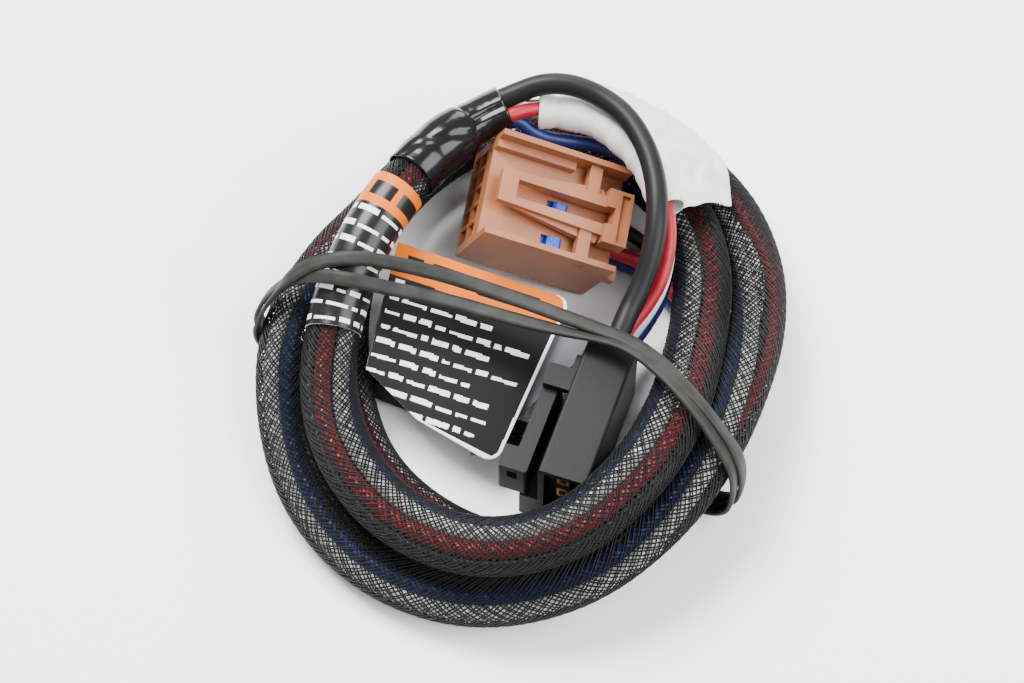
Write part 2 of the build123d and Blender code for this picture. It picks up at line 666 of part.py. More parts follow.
write(
    "heat_shrink_vehicle_end",
    tube(
        cord_path(vehicle_shrink_points + [vehicle_shrink_end], vehicle_shrink_radii),
        shrink_bore + 2 * VEHICLE_SHRINK_WALL,
        shrink_bore,
    ),
)

write("vehicle_plug_housing", VEHICLE_PLACE * vehicle_plug_housing())
write("vehicle_plug_latch", VEHICLE_PLACE * vehicle_plug_latch())
write("vehicle_plug_lock", VEHICLE_PLACE * vehicle_plug_lock())
for colour, (column, row) in VEHICLE_COLUMNS.items():
    write(f"vehicle_terminal_{colour}", VEHICLE_PLACE * vehicle_terminal(column, row))
write("controller_plug_housing", CONTROLLER_PLACE * controller_plug_housing())
write("controller_plug_latch", CONTROLLER_PLACE * controller_plug_latch())
for index, colour in enumerate(("black", "red", "white", "blue")):
    write(f"controller_terminal_{colour}", CONTROLLER_PLACE * controller_terminal(index))

label_wrap, label_flag = printed_label(loom_path)
write("printed_label", label_wrap)
write("printed_label_flag", label_flag)
write("label_backing", label_backing())
marker_path = cord_path(vectors([MARKER_START] + MARKER_ROUTE[1:]))
write("marker_label", tube(marker_path, MARKER_BORE + 2 * MARKER_WALL, MARKER_BORE))
write("marker_label_flag", marker_flag())
band_points = vectors(BAND_ROUTE)
band_loop = band_points + band_points[:3]
band_half = len(band_points) // 2
near_half = tube(stretch(band_loop, 0, band_half), BAND_DIAMETER)
far_half = tube(stretch(band_loop, band_half, len(band_points)), BAND_DIAMETER)
write("rubber_band", near_half + far_half)

for name, points in routes.items():
    radii = corner_radii(points)
    print(f"{name}: smallest bend {min(radii):.1f} mm, length {cord_path(points).length:.1f} mm")
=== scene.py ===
import bpy
import math
import random
import numpy as np
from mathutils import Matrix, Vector, noise


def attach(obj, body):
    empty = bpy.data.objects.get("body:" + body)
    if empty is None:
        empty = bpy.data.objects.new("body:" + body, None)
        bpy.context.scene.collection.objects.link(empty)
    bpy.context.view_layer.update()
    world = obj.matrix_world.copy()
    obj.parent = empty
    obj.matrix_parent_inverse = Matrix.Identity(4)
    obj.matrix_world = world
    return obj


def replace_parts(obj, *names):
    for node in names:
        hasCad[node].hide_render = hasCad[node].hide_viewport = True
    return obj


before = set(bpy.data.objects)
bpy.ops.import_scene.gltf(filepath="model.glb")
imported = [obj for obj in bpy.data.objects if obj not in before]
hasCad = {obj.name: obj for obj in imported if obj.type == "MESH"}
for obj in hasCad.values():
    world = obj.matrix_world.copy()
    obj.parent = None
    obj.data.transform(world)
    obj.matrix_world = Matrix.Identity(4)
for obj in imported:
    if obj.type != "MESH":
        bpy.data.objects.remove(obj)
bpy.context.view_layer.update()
mm = 0.001
coilPlace = {"shift": (1.15, -3.0), "centre": (0.0, 2.0)}  # millimetres, as the routes are


def spot(x, y, z):  # a point of the coil's layout, in metres
    return Vector(((x + coilPlace["shift"][0]) * mm, (y + coilPlace["shift"][1]) * mm, z * mm))


def spots(points):
    return [spot(*point) for point in points]


def polar(angle, radius, height):
    turn = math.radians(angle)
    x = coilPlace["centre"][0] + radius * math.cos(turn)
    y = coilPlace["centre"][1] + radius * math.sin(turn)
    return spot(x, y, height)


loomSettings = {
    "start": (110, 37, 24.3),  # angle, radius, height
    "firstAngle": 120, "step": 20,
    "turns": [  # radius and height, one step of angle apart
        (35, 24.3), (32, 24.4), (32, 22.4), (34.5, 16.8), (38, 14.5), (42, 14.1),
        (45.3, 14.2), (46.5, 15.2), (44.6, 18.8), (39.4, 23.1), (34, 22), (31, 18.4),
        (31.3, 14.2), (34.8, 12.8), (39.5, 11.3), (42.8, 9.4), (44.8, 9.6), (44.6, 12.2),
        (39.4, 13.8), (36.0, 14.6), (38.6, 14.9), (44.2, 11.6), (46.8, 5.6), (50, 4.5),
        (52, 4.5), (52, 5.4), (50.2, 10.4), (46.0, 15.2), (42.2, 16.9), (40.6, 16),
        (42.2, 12.4), (46, 8.5), (50.6, 5.2), (53, 4.5), (52.8, 4.5), (50.4, 4.5),
        (45.4, 4.5), (40, 4.7), (35.8, 5.6), (34, 6.5), (34.5, 5.4), (36.7, 4.5),
        (38.6, 4.5), (40.7, 4.5), (42.2, 4.7), (42.4, 5.9), (41.4, 6.8), (39.2, 5.8),
    ],
    "length": 0.7,
    "diameter": 0.009,
}
loomPoints = [polar(*loomSettings["start"])]
for index, (radius, height) in enumerate(loomSettings["turns"]):
    angle = loomSettings["firstAngle"] + loomSettings["step"] * index
    loomPoints.append(polar(angle, radius, height))


def addLine(name, points, bevel=0.0):  # a smooth NURBS line with these control points
    curve = bpy.data.curves.new(name, "CURVE")
    curve.dimensions = "3D"
    curve.resolution_u = 12
    curve.bevel_depth = 1 if bevel else 0  # each point's own radius sets the thickness
    curve.bevel_resolution = 5
    curve.use_fill_caps = True
    spline = curve.splines.new("NURBS")
    spline.points.add(len(points) - 1)
    for item, point in zip(spline.points, points):
        item.co = (*point, 1)
        item.radius = bevel
    spline.order_u = 3
    spline.use_endpoint_u = True
    line = bpy.data.objects.new(name, curve)
    bpy.context.scene.collection.objects.link(line)
    return line


def readLine(points, step):  # evenly spaced points of the NURBS line
    line = addLine("guide", points)
    mesh = bpy.data.meshes.new_from_object(line)
    raw = np.array([vertex.co for vertex in mesh.vertices], float)
    bpy.data.meshes.remove(mesh)
    bpy.data.objects.remove(line)
    run = np.concatenate([[0], np.cumsum(np.linalg.norm(np.diff(raw, axis=0), axis=1))])
    count = max(2, int(round(run[-1] / step)) + 1)
    places = np.linspace(0, run[-1], count)
    return np.stack([np.interp(places, run, raw[:, axis]) for axis in range(3)], 1)


def evenLine(points, count):  # the same line as so many even points
    line = readLine(points, 0.0002)
    places = np.linspace(0, len(line) - 1, count)
    return np.stack([np.interp(places, range(len(line)), line[:, axis]) for axis in range(3)], 1)


def lineLength(line):
    return float(np.linalg.norm(np.diff(line, axis=0), axis=1).sum())


def sidesAndUps(line, closed=False):  # the level direction across a line, and the one above it
    if closed:
        along = np.roll(line, -1, axis=0) - np.roll(line, 1, axis=0)
    else:
        along = np.gradient(line, axis=0)
    along /= np.linalg.norm(along, axis=1)[:, None]
    side = np.cross(along, [0, 0, 1.0])
    side /= np.linalg.norm(side, axis=1)[:, None]
    return side, np.cross(side, along)


def addMesh(name, points, faces, body="harness"):
    mesh = bpy.data.meshes.new(name)
    mesh.from_pydata([tuple(point) for point in points], [], faces)
    mesh.update()
    piece = bpy.data.objects.new(name, mesh)
    bpy.context.scene.collection.objects.link(piece)
    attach(piece, body)
    return piece


def ringFaces(rings, around, first=0, capped=True, closed=False):
    faces = []
    last = rings if closed else rings - 1
    for ring in range(last):
        here = first + ring * around
        ahead = first + ((ring + 1) % rings) * around
        for corner in range(around):
            beside = (corner + 1) % around
            faces.append((here + corner, ahead + corner, ahead + beside, here + beside))
    if capped and not closed:
        faces.append(tuple(range(first, first + around)))
        faces.append(tuple(reversed(range(first + (rings - 1) * around, first + rings * around))))
    return faces


def addTube(name, line, shape, around, closed=False):
    # shape(fraction, angle, place) gives the radius, so a tube can swell, flatten and crease
    side, up = sidesAndUps(line, closed)
    points = []
    for index, place in enumerate(line):
        fraction = index / (len(line) - 1)
        for corner in range(around):
            angle = 2 * math.pi * corner / around
            reach = shape(fraction, angle, place)
            points.append(place + (side[index] * math.cos(angle) + up[index] * math.sin(angle)) * reach)
    return addMesh(name, points, ringFaces(len(line), around, closed=closed))


def smooth(piece):
    for polygon in piece.data.polygons:
        polygon.use_smooth = True
    return piece


def newMaterial(name, colour, roughness, **more):
    material = bpy.data.materials.new(name)
    material.use_nodes = True
    shader = material.node_tree.nodes["Principled BSDF"]
    shader.inputs["Base Color"].default_value = (*colour, 1)
    shader.inputs["Roughness"].default_value = roughness
    for label, value in more.items():
        shader.inputs[label.replace("_", " ")].default_value = value
    return material


def addGrain(material, scale, strength, distance=0.0001, detail=4):
    nodes, links = material.node_tree.nodes, material.node_tree.links
    coordinates = nodes.new("ShaderNodeTexCoord")
    grain = nodes.new("ShaderNodeTexNoise")
    grain.inputs["Scale"].default_value = scale
    grain.inputs["Detail"].default_value = detail
    bump = nodes.new("ShaderNodeBump")
    bump.inputs["Strength"].default_value = strength
    bump.inputs["Distance"].default_value = distance
    links.new(coordinates.outputs["Object"], grain.inputs["Vector"])
    links.new(grain.outputs["Fac"], bump.inputs["Height"])
    links.new(bump.outputs["Normal"], nodes["Principled BSDF"].inputs["Normal"])
    return material


def addMottle(material, colourA, colourB, scale, low=0.35, high=0.65):
    nodes, links = material.node_tree.nodes, material.node_tree.links
    coordinates = nodes.new("ShaderNodeTexCoord")
    mottle = nodes.new("ShaderNodeTexNoise")
    mottle.inputs["Scale"].default_value = scale
    mottle.inputs["Detail"].default_value = 5
    ramp = nodes.new("ShaderNodeValToRGB")
    ramp.color_ramp.elements[0].position = low
    ramp.color_ramp.elements[0].color = (*colourA, 1)
    ramp.color_ramp.elements[1].position = high
    ramp.color_ramp.elements[1].color = (*colourB, 1)
    links.new(coordinates.outputs["Object"], mottle.inputs["Vector"])
    links.new(mottle.outputs["Fac"], ramp.inputs["Fac"])
    links.new(ramp.outputs["Color"], nodes["Principled BSDF"].inputs["Base Color"])
    return material


def wireMaterial(name, dark, light):
    material = newMaterial(name, light, 0.42, Specular_IOR_Level=0.35)
    addMottle(material, dark, light, 260)
    return addGrain(material, 900, 0.12)


def black(name, roughness, level, **more):  # slightly blue
    return newMaterial(name, (level, level, level * 1.08), roughness, Specular_IOR_Level=0.18, **more)


materials = {
    "filament": addGrain(black("braid filament", 0.42, 0.004), 900, 0.1),
    "black": wireMaterial("black insulation", (0.002, 0.002, 0.002), (0.006, 0.006, 0.006)),
    "red": wireMaterial("red insulation", (0.27, 0.004, 0.012), (0.38, 0.008, 0.02)),
    "blue": wireMaterial("blue insulation", (0.005, 0.014, 0.1), (0.008, 0.022, 0.16)),
    "white": wireMaterial("white insulation", (0.58, 0.58, 0.56), (0.74, 0.74, 0.72)),
    "jacket": addGrain(black("black jacket", 0.45, 0.007), 700, 0.25),
    "shrink": addGrain(black("heat shrink", 0.2, 0.003, Coat_Weight=0.25, Coat_Roughness=0.1), 420, 0.25),
    "brown": newMaterial("terracotta plastic", (0.3, 0.11, 0.055), 0.4),
    "brownLatch": newMaterial("terracotta latch plastic", (0.31, 0.115, 0.06), 0.38),
    "blueLock": newMaterial("royal blue plastic", (0.01, 0.05, 0.42), 0.32),
    "blackPlug": addGrain(black("black plug plastic", 0.48, 0.006), 2000, 0.3),
    "brass": newMaterial("contact brass", (0.76, 0.55, 0.24), 0.28, Metallic=1.0),
    "inkBlack": black("label ink black", 0.3, 0.006, Coat_Weight=0.2, Coat_Roughness=0.2),
    "inkOrange": newMaterial("label ink orange", (0.62, 0.13, 0.0), 0.45, Specular_IOR_Level=0.15),
    "inkWhite": newMaterial("label white", (0.82, 0.82, 0.82), 0.4, Coat_Weight=0.2, Coat_Roughness=0.2),
    # the back ply's dark grey is painted shade, standing for the shade under the flag rather than the
    # sheet's own colour
    "shadeGreyPly": newMaterial("shade grey label back ply", (0.115, 0.11, 0.125), 0.5),
    "film": newMaterial("white marker film", (0.62, 0.62, 0.6), 0.5),
    "band": newMaterial("band rubber", (0.02, 0.02, 0.019), 0.6, Specular_IOR_Level=0.3),
}
addMottle(materials["brown"], (0.25, 0.082, 0.03), (0.31, 0.108, 0.042), 120)
addGrain(materials["brown"], 2400, 0.15)
addMottle(materials["brownLatch"], (0.26, 0.088, 0.034), (0.32, 0.113, 0.046), 120)
addGrain(materials["brownLatch"], 2400, 0.15)
addGrain(materials["blueLock"], 2400, 0.12)
addMottle(materials["brass"], (0.6, 0.42, 0.17), (0.82, 0.61, 0.28), 300)
addGrain(materials["inkBlack"], 600, 0.1)
addGrain(materials["inkOrange"], 600, 0.1)
addGrain(materials["inkWhite"], 600, 0.1)
addGrain(materials["film"], 340, 0.6, 0.0003)
addGrain(materials["shadeGreyPly"], 900, 0.3)
addMottle(materials["band"], (0.006, 0.006, 0.0055), (0.018, 0.0175, 0.015), 260)
addGrain(materials["band"], 1200, 0.3)


def paint(piece, *names):
    piece.data.materials.clear()
    for name in names:
        piece.data.materials.append(materials[name])
    return piece


nodeMaterials = {
    "vehicle_plug_housing": "brown",
    "vehicle_plug_latch": "brownLatch",
    "vehicle_plug_lock": "blueLock",
    "controller_plug_housing": "blackPlug",
    "controller_plug_latch": "blackPlug",
}
for node, piece in hasCad.items():
    if "terminal" in node:
        paint(piece, "brass")
    elif node in nodeMaterials:
        paint(piece, nodeMaterials[node])
print("stage: plugs painted")

bundleSettings = {
    # share of the loom, half width, half height, then each wire's angle round the bundle
    "keys": [
        (0.00, 4.3, 4.3, {"black": 40, "red": 130, "white": 215, "blue": 300}),
        (0.03, 4.3, 4.3, {"black": 20, "red": 110, "white": 190, "blue": 280}),
        (0.09, 5.2, 3.6, {"black": 0, "red": 64, "white": 117, "blue": 175}),
        (0.17, 5.5, 3.4, {"black": 0, "red": 64, "white": 116, "blue": 172}),
        (0.24, 5.3, 3.5, {"black": 0, "red": 62, "white": 115, "blue": 168}),
        (0.29, 5.4, 3.5, {"black": 0, "red": 62, "white": 114, "blue": 166}),
        (0.36, 5.4, 3.4, {"black": 0, "red": 62, "white": 116, "blue": 170}),
        (0.42, 4.8, 4.0, {"black": -90, "red": -30, "white": 60, "blue": 120}),
        (0.49, 5.0, 3.9, {"black": -220, "red": -160, "white": 25, "blue": 80}),
        (0.56, 5.2, 3.7, {"black": -225, "red": -165, "white": 25, "blue": 78}),
        (0.62, 5.0, 3.8, {"black": -100, "red": -40, "white": 90, "blue": 150}),
        (0.68, 5.0, 3.8, {"black": 15, "red": 82, "white": 165, "blue": 232}),
        (0.76, 5.0, 3.8, {"black": 15, "red": 82, "white": 165, "blue": 232}),
        (1.00, 4.4, 4.2, {"black": 60, "red": 140, "white": 220, "blue": 310}),
    ],
    "wireRadius": 0.00145, "wireInset": 0.00172, "wireSides": 12,
    "wander": 0.12, "wanderRate": 30, "guideStep": 0.001,
}


def bundleAt(share, what):
    keys = bundleSettings["keys"]
    shares = [key[0] for key in keys]
    if what in ("width", "height"):
        values = [key[1 if what == "width" else 2] * mm for key in keys]
    else:
        values = [math.radians(key[3][what]) for key in keys]
    return float(np.interp(share, shares, values))


loomLine = readLine(loomPoints, bundleSettings["guideStep"])
loomSide, loomUp = sidesAndUps(loomLine)
loomShares = np.linspace(0, 1, len(loomLine))


def addWire(name, colour):
    line = []
    for index, share in enumerate(loomShares):
        angle = bundleAt(share, colour)
        wander = noise.noise(Vector((share * bundleSettings["wanderRate"], 3.7, len(colour))))
        angle += bundleSettings["wander"] * wander
        width = bundleAt(share, "width") - bundleSettings["wireInset"]
        height = bundleAt(share, "height") - bundleSettings["wireInset"]
        offset = loomSide[index] * width * math.cos(angle) + loomUp[index] * height * math.sin(angle)
        line.append(loomLine[index] + offset)
    radius = bundleSettings["wireRadius"]
    wire = addTube(name, np.array(line), lambda *_: radius, bundleSettings["wireSides"])
    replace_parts(wire, f"loom_wire_{colour}")
    return smooth(paint(wire, colour))


wireColours = ("black", "red", "blue", "white")
loomWires = [addWire(f"loomWire{colour.title()}", colour) for colour in wireColours]
print("stage: loom wires run")

braidSettings = {
    "strands": 36, "lead": 0.036, "halfWidth": 0.00018, "thickness": 0.0002, "layGap": 0.00012,
    "radius": 0.0045, "wander": 0.05, "wanderRate": 60,
}


def addBraid(name):
    points, faces = [], []
    line = loomLine[::2] if len(loomLine) % 2 else np.vstack([loomLine[::2], loomLine[-1:]])
    shares = np.linspace(0, 1, len(line))
    side, up = sidesAndUps(line)
    turns = 2 * math.pi * loomSettings["length"] / braidSettings["lead"]
    for lay in (1, -1):
        for strand in range(braidSettings["strands"]):
            first = len(points)
            start = 2 * math.pi * (strand + 0.16 * math.sin(strand * 2.1)) / braidSettings["strands"]
            lift = braidSettings["layGap"] * (1 if lay > 0 else 0)
            for index, place in enumerate(line):
                share = shares[index]
                wander = noise.noise(Vector((share * braidSettings["wanderRate"], strand, lay)))
                turn = start + lay * turns * share + braidSettings["wander"] * wander
                width = bundleAt(share, "width") + lift
                height = bundleAt(share, "height") + lift
                for spread, drop in ((-1, 0), (1, 0), (0, 1)):
                    angle = turn - lay * spread * braidSettings["halfWidth"] / braidSettings["radius"]
                    shrink = drop * braidSettings["thickness"]
                    offset = (width - shrink) * math.cos(angle) * side[index]
                    offset = offset + (height - shrink) * math.sin(angle) * up[index]
                    points.append(place + offset)
            faces += ringFaces(len(line), 3, first)
    return addMesh(name, points, faces)


braid = smooth(paint(addBraid("braidedSleeve"), "filament"))
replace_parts(braid, "braided_sleeve")
print("stage: braid woven", len(braid.data.polygons))

leadSettings = {
    "straight": 5.5, "spacing": 3.1,
    "wireDiameter": 0.0026, "jacketDiameter": 0.004,
    "plugAngle": -109.3, "plugHeight": 18.6, "firstCavity": 2.7, "pitch": 4.5,
    "plugRear": (15.7, -4.4, 1.9), "behindPlug": 0.005, "insidePlug": 0.0069,
    "vehicleAxis": (0.922, -0.097, -0.379), "vehicleRear": (16, 24, 9), "insideVehicle": 0.0095,
    "crimpPoints": 24,  # how many of a terminal's vertices make up its crimp end
    "exit": [(-9.3, 39.85, 24.3), (-2.6, 42.6, 25.3)],
    "jacket": [
        (3.0, 45.0, 28.7), (8.8, 44.5, 28.9),
        (14.0, 42.2, 28.3), (18.4, 38.0, 28.3), (21.5, 32.0, 28.2), (23.2, 25.2, 28.0),
        (23.6, 18.2, 27.2), (22.8, 11.8, 24.6), (20.6, 6.0, 20.6),
    ],
    "marker": [
        (4.2, 42.8, 22.9), (8.6, 42.5, 22.9), (12.6, 41.0, 22.8), (16.6, 38.2, 22.8),
        (20.4, 34.0, 22.8), (23.6, 28.2, 22.8), (25.6, 21.4, 22.3),
    ],
    "tail": [(26.0, 14.6, 20.4), (24.6, 8.8, 17.0), (21.6, 4.4, 14.0)],
    "blue": [
        (2.0, 39.3, 19.8), (7.6, 39.8, 17.4), (13.2, 39.4, 16.9), (18.6, 36.4, 16.8),
        (22.8, 31.0, 16.8), (25.4, 24.4, 16.2), (26.2, 17.4, 14.2), (25.4, 11.2, 11.0),
        (22.8, 6.4, 7.8),
    ],
    "vehicle": [
        (38.9, 0.2, 4.6), (36.2, 6.2, 4.3), (31.8, 11.0, 4.2), (27.4, 15.4, 4.5),
        (23.6, 19.8, 5.6),
    ],
    "vehiclePlaces": {
        "black": (1.55, 1.55), "red": (-1.55, 1.55), "blue": (-1.55, -1.55), "white": (1.55, -1.55),
    },
    "loomPlaces": {"black": (-1.0, 1.4), "red": (2.3, 0.5), "blue": (1.1, -2.1), "white": (-1.6, -1.9)},
}


def beside(points, sideways, up):  # a route that runs level beside another, and above or below it
    moved = []
    for index, point in enumerate(points):
        ahead = points[min(index + 1, len(points) - 1)]
        behind = points[max(index - 1, 0)]
        along = Vector((ahead.x - behind.x, ahead.y - behind.y, 0)).normalized()
        moved.append(point + along.cross(Vector((0, 0, 1))) * sideways * mm + Vector((0, 0, up * mm)))
    return moved


def wireEnd(node, near):  # the middle of a terminal's crimp end, which the wire runs into
    points = np.array([vertex.co for vertex in hasCad[node].data.vertices], float)
    order = np.argsort(np.linalg.norm(points - np.array(near), axis=1))
    crimp = points[order[:leadSettings["crimpPoints"]]]
    return Vector((crimp.max(0) + crimp.min(0)) / 2)


plugAngle = math.radians(leadSettings["plugAngle"])
controllerAxis = Vector((math.cos(plugAngle), math.sin(plugAngle), 0))
vehicleAxis = Vector(leadSettings["vehicleAxis"]).normalized()


def addLead(name, points, diameter, colour, node):
    lead = addLine(name, points, diameter / 2)
    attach(lead, "harness")
    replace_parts(lead, node)
    length = lineLength(readLine(points, 0.0005))
    return paint(lead, colour)


mouth = [loomPoints[0]] + spots(leadSettings["exit"])
pair = spots(leadSettings["marker"] + leadSettings["tail"])
halfPair = leadSettings["spacing"] / 2
onward = {
    "black": spots(leadSettings["jacket"]),
    "red": beside(pair, 0, halfPair),
    "white": beside(pair, 0, -halfPair),
    "blue": spots(leadSettings["blue"]),
}
plugRear = spot(*leadSettings["plugRear"])
firstHeight = leadSettings["plugHeight"] - leadSettings["firstCavity"]
for index, (colour, points) in enumerate(onward.items()):
    cavity = plugRear + Vector((0, 0, (firstHeight - leadSettings["pitch"] * index) * mm))
    end = [
        cavity - controllerAxis * leadSettings["behindPlug"],
        cavity + controllerAxis * leadSettings["insidePlug"],
    ]
    route = beside(mouth, *leadSettings["loomPlaces"][colour]) + points + end
    diameter = leadSettings["jacketDiameter" if colour == "black" else "wireDiameter"]
    skin = "jacket" if colour == "black" else colour
    addLead(f"controllerLead{colour.title()}", route, diameter, skin, f"controller_lead_{colour}")

loomEndWay = (loomPoints[-1] - loomPoints[-2]).normalized()
loomEndSide = loomEndWay.cross(Vector((0, 0, -1))).normalized()
loomEndUp = loomEndWay.cross(loomEndSide)
for colour in wireColours:
    x, y = leadSettings["loomPlaces"][colour]
    start = loomPoints[-1] + loomEndSide * x * mm + loomEndUp * y * mm
    inside = wireEnd(f"vehicle_terminal_{colour}", spot(*leadSettings["vehicleRear"]))
    sideways, up = leadSettings["vehiclePlaces"][colour]
    route = [start, start + loomEndWay * leadSettings["straight"] * mm]
    route += beside(spots(leadSettings["vehicle"]), sideways, up)
    route += [inside + vehicleAxis * leadSettings["insideVehicle"], inside]
    name = f"vehicleLead{colour.title()}"
    addLead(name, route, leadSettings["wireDiameter"], colour, f"vehicle_lead_{colour}")
print("stage: leads run")


def addSleeve(name, line, outer, wall, around):
    # a tube with its bore, where outer(fraction, angle, place) gives the outer radius
    side, up = sidesAndUps(line)
    rings = []
    for inward in (0, wall):
        ring = []
        for index, place in enumerate(line):
            for corner in range(around):
                angle = 2 * math.pi * corner / around
                reach = outer(index / (len(line) - 1), angle, place) - inward
                ring.append(place + (side[index] * math.cos(angle) + up[index] * math.sin(angle)) * reach)
        rings.append([ring[start:start + around] for start in range(0, len(ring), around)])
    points = [point for ring in rings[0] + rings[1][::-1] for point in ring]
    return addMesh(name, points, ringFaces(2 * len(line), around, closed=True))


def dent(place, scale, depth):
    return noise.noise(Vector(place) * scale) * depth


shrinkSettings = {
    "overrun": 2.5, "vehicleOverrun": 4.0, "cut": 1.6, "around": 96, "step": 0.0005, "wall": 0.0004,
    "loomEnd": 0.00512, "leadExit": 0.0043, "vehicleEnd": 0.00492,  # outer radii
}


def loomEndShape(fraction, angle, place):
    taper = 0.0009 * math.exp(-fraction * 16)
    crease = 0.00022 * max(0, math.sin(angle * 3 + fraction * 5)) ** 6
    dents = dent(place, 260, 0.00022) + dent(place, 900, 0.00006)
    return shrinkSettings["loomEnd"] - taper + dents - crease


def leadExitShape(fraction, angle, place):
    pinch = 0.00042 * fraction * math.cos(2 * (angle - 0.5))
    fold = 0.0006 * math.exp(-((math.sin(angle - 1.1) / 0.16) ** 2)) * (math.cos(angle - 1.1) > 0)
    dents = dent(place, 380, 0.0002) + dent(place, 1100, 0.00006)
    return shrinkSettings["leadExit"] + pinch - fold * min(1, fraction * 3) + dents


def vehicleEndShape(fraction, angle, place):
    shrunk = 0.0006 * max(0, (fraction - 0.8) / 0.2)
    return shrinkSettings["vehicleEnd"] - shrunk + dent(place, 300, 0.00018) + dent(place, 900, 0.00005)


def addShrink(name, points, shape, node):
    line = readLine(points, shrinkSettings["step"])
    shrink = addSleeve(name, line, shape, shrinkSettings["wall"], shrinkSettings["around"])
    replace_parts(shrink, node)
    return smooth(paint(shrink, "shrink"))


back = (loomPoints[0] - loomPoints[1]).normalized()
firstRun = (loomPoints[1] + loomPoints[2]) / 2
loomEndStart = loomPoints[0] + back * shrinkSettings["overrun"] * mm
loomEndRoute = [loomEndStart, loomPoints[1], firstRun]
addShrink("heatShrinkLoomEnd", loomEndRoute, loomEndShape, "heat_shrink_loom_end")
exitCorner, leadCorner = spots(leadSettings["exit"])
exitMouth = leadCorner - (leadCorner - exitCorner).normalized() * shrinkSettings["cut"] * mm
leadExitRoute = [loomPoints[0], exitCorner, exitMouth]
addShrink("heatShrinkLeadExit", leadExitRoute, leadExitShape, "heat_shrink_lead_exit")
vehicleStart = (loomPoints[-4] + loomPoints[-3]) / 2
vehicleMouth = loomPoints[-1] + loomEndWay * shrinkSettings["vehicleOverrun"] * mm
vehicleEndRoute = [vehicleStart, loomPoints[-3], loomPoints[-2], vehicleMouth]
addShrink("heatShrinkVehicleEnd", vehicleEndRoute, vehicleEndShape, "heat_shrink_vehicle_end")
print("stage: heat shrink fitted")

printSettings = {
    "band": 0.0062, "pitch": 0.0029, "small": 0.00065, "tall": 0.001, "underBand": 0.0006,
    "heading": (0.0016, 0.0046), "inks": ("inkBlack", "inkOrange", "inkWhite"),
    "margin": 0.0016, "wordGap": 0.0008, "words": (0.0012, 0.0048), "rowFill": (0.55, 1.0),
}


def printRows(seed, width, rows):  # plain bars in word lengths, with no lettering in them
    dice = random.Random(seed)
    blocks = []
    for _ in range(rows):
        place = printSettings["margin"]
        end = width * dice.uniform(*printSettings["rowFill"])
        words = []
        while place < end:
            tall = dice.random() < 0.5
            wide = dice.uniform(*printSettings["words"])
            words.append((place, place + wide, tall))
            place += wide + printSettings["wordGap"]
        blocks.append(words)
    return blocks


def inkAt(across, down, rows, heading):  # 0 black, 1 orange, 2 white
    settings = printSettings
    if down < settings["band"]:
        inHeading = settings["heading"][0] < down < settings["heading"][1]
        marked = any(start < across < end for start, end in heading)
        return 0 if inHeading and marked else 1
    row, level = divmod(down - settings["band"] - settings["underBand"], settings["pitch"])
    if row < 0 or row >= len(rows):
        return 0
    for start, end, tall in rows[int(row)]:
        if start < across < end:
            top = 0 if tall else settings["tall"] - settings["small"]
            return 2 if top < level < settings["tall"] else 0
    return 0


wrapSettings = {
    "start": 0.0165, "end": 0.046, "outer": 0.00478, "wall": 0.0002, "around": 150, "step": 0.0002,
    "seed": 4, "rows": 8, "rowWidth": 0.031, "turn": 0.1,
    "heading": [(0.0035, 0.0062), (0.0076, 0.0124), (0.0136, 0.0196)],
}


def wrapShape(fraction, angle, place):
    return wrapSettings["outer"] + dent(place, 240, 0.00012) + 0.0003 * math.cos(angle) ** 2


loomFine = readLine(loomPoints, wrapSettings["step"])
wrapFirst = int(wrapSettings["start"] / wrapSettings["step"])
wrapLast = int(wrapSettings["end"] / wrapSettings["step"])
wrapLine = loomFine[wrapFirst:wrapLast]
wrap = addSleeve("printedLabelWrap", wrapLine, wrapShape, wrapSettings["wall"], wrapSettings["around"])
wrapRows = printRows(wrapSettings["seed"], wrapSettings["rowWidth"], wrapSettings["rows"])
paint(wrap, *printSettings["inks"])
for polygon in wrap.data.polygons:
    ring, corner = divmod(polygon.index, wrapSettings["around"])
    if ring < len(wrapLine) - 1:
        turn = (corner / wrapSettings["around"] + wrapSettings["turn"]) % 1
        around = turn * 2 * math.pi * wrapSettings["outer"]
        down = ring * wrapSettings["step"]
        polygon.material_index = inkAt(around, down, wrapRows, wrapSettings["heading"])
    else:
        polygon.material_index = 2
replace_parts(wrap, "printed_label")
smooth(wrap)


def addSheetMesh(name, top, thickness):
    # top is a grid of points, rows first, and the sheet is closed below and round its edge
    grid = np.array(top)
    rows, columns = grid.shape[:2]
    downRows = np.gradient(grid, axis=0)
    acrossColumns = np.gradient(grid, axis=1)
    normals = np.cross(acrossColumns, downRows)
    normals /= np.linalg.norm(normals, axis=2)[:, :, None]
    if normals[..., 2].mean() < 0:
        normals = -normals
    bottom = grid - normals * thickness
    points = [*grid.reshape(-1, 3), *bottom.reshape(-1, 3)]
    under = rows * columns
    faces = []
    for row in range(rows - 1):
        for column in range(columns - 1):
            corner = row * columns + column
            faces.append((corner, corner + columns, corner + columns + 1, corner + 1))
    for row in range(rows - 1):
        for column in range(columns - 1):
            corner = under + row * columns + column
            faces.append((corner, corner + 1, corner + columns + 1, corner + columns))
    rim = list(range(columns))
    rim += [row * columns + columns - 1 for row in range(1, rows)]
    rim += [(rows - 1) * columns + column for column in range(columns - 2, -1, -1)]
    rim += [row * columns for row in range(rows - 2, 0, -1)]
    for here, ahead in zip(rim, rim[1:] + rim[:1]):
        faces.append((here, ahead, under + ahead, under + here))
    sheet = addMesh(name, points, faces)
    bpy.context.view_layer.objects.active = sheet
    bpy.ops.object.select_all(action="DESELECT")
    sheet.select_set(True)
    bpy.ops.object.mode_set(mode="EDIT")
    bpy.ops.mesh.select_all(action="SELECT")
    bpy.ops.mesh.normals_make_consistent(inside=False)
    bpy.ops.object.mode_set(mode="OBJECT")
    return sheet


